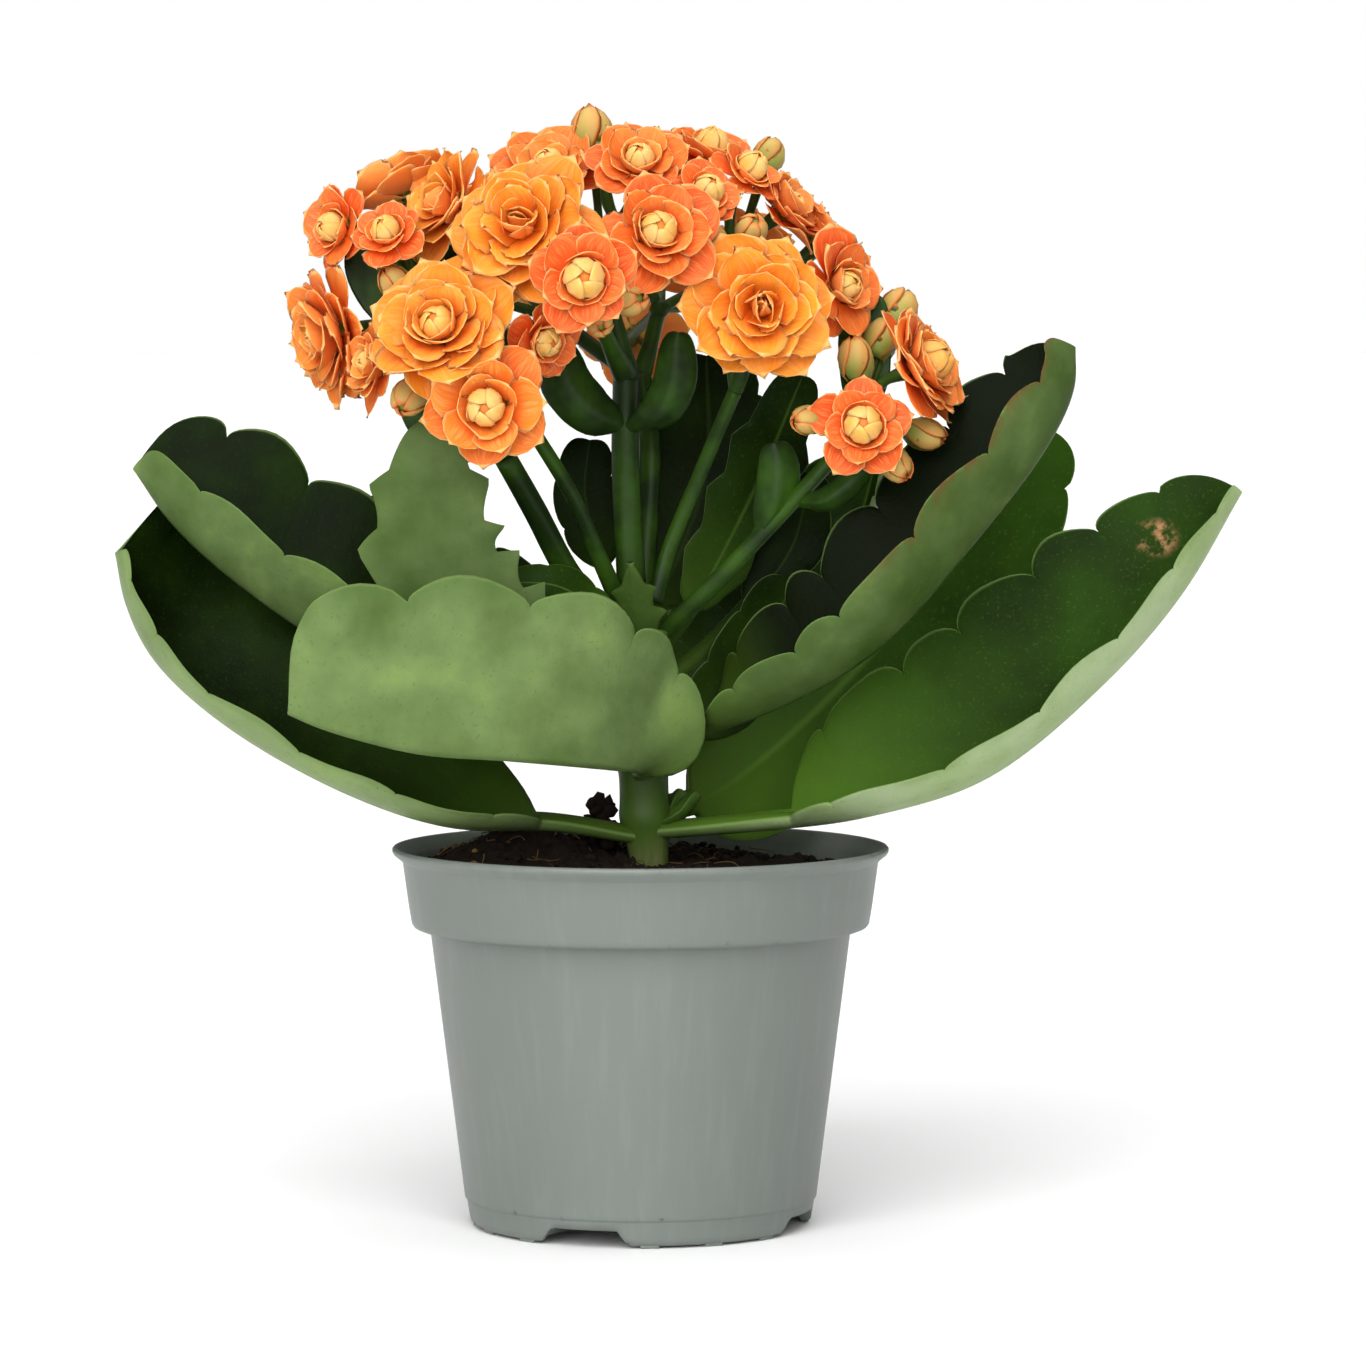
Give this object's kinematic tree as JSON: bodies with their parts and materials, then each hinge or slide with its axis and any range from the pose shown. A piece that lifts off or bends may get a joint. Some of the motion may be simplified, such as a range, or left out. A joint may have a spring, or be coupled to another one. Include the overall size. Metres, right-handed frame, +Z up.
{
  "type": "potted kalanchoe",
  "caption": "Double-flowered kalanchoe in a plain round nursery pot: broad fleshy folded leaves round a stem and a dome of orange rosette blooms on forked stalks.",
  "frame": {"origin": "On the pot's axis, on the flat surface that the pot stands on.", "axes": "+Z is up along the pot's axis, +X is to the right and +Y is away from the viewer, seen from the side with the largest blooms."},
  "size_m": [0.2349, 0.1347, 0.2366],
  "materials": {
    "pot": "satin",
    "soil": "matte",
    "stalks": "satin",
    "leaves": "satin",
    "petals": "matte"
  },
  "bodies": {
    "root": {"pot": "pot", "soil": "soil", "stem": "stalks", "leaf_low_left": "leaves", "leaf_low_right": "leaves", "leaf_front": "leaves", "leaf_back": "leaves", "leaf_mid_left": "leaves", "leaf_tall_right": "leaves", "leaf_wide_right": "leaves", "leaf_back_left": "leaves", "leaf_back_right": "leaves", "leaf_toothed_left": "leaves", "leaf_hidden_left": "leaves", "leaf_short_left": "leaves", "leaf_short_front": "leaves", "leaf_behind_left": "leaves", "leaf_behind": "leaves", "leaf_toothed_right": "leaves", "leaf_oval_right": "leaves", "leaf_under_right": "leaves", "spray_centre": "stalks", "spray_left": "stalks", "spray_far_left": "stalks", "spray_right": "stalks", "spray_far_right": "stalks", "spray_back": "stalks", "bloom_01": "petals", "bloom_02": "petals", "bloom_03": "petals", "bloom_04": "petals", "bloom_05": "petals", "bloom_06": "petals", "bloom_07": "petals", "bloom_08": "petals", "bloom_09": "petals", "bloom_10": "petals", "bloom_11": "petals", "bloom_12": "petals", "bloom_13": "petals", "bloom_14": "petals", "bloom_15": "petals", "bloom_16": "petals", "bloom_17": "petals", "bloom_18": "petals", "bloom_19": "petals", "bloom_20": "petals", "bloom_21": "petals", "bloom_22": "petals", "bloom_23": "petals", "bloom_24": "petals", "bloom_25": "petals", "bloom_26": "petals", "bloom_27": "petals", "bloom_28": "petals", "bloom_29": "petals", "bloom_30": "petals", "bloom_31": "petals"}
  },
  "joints": []
}
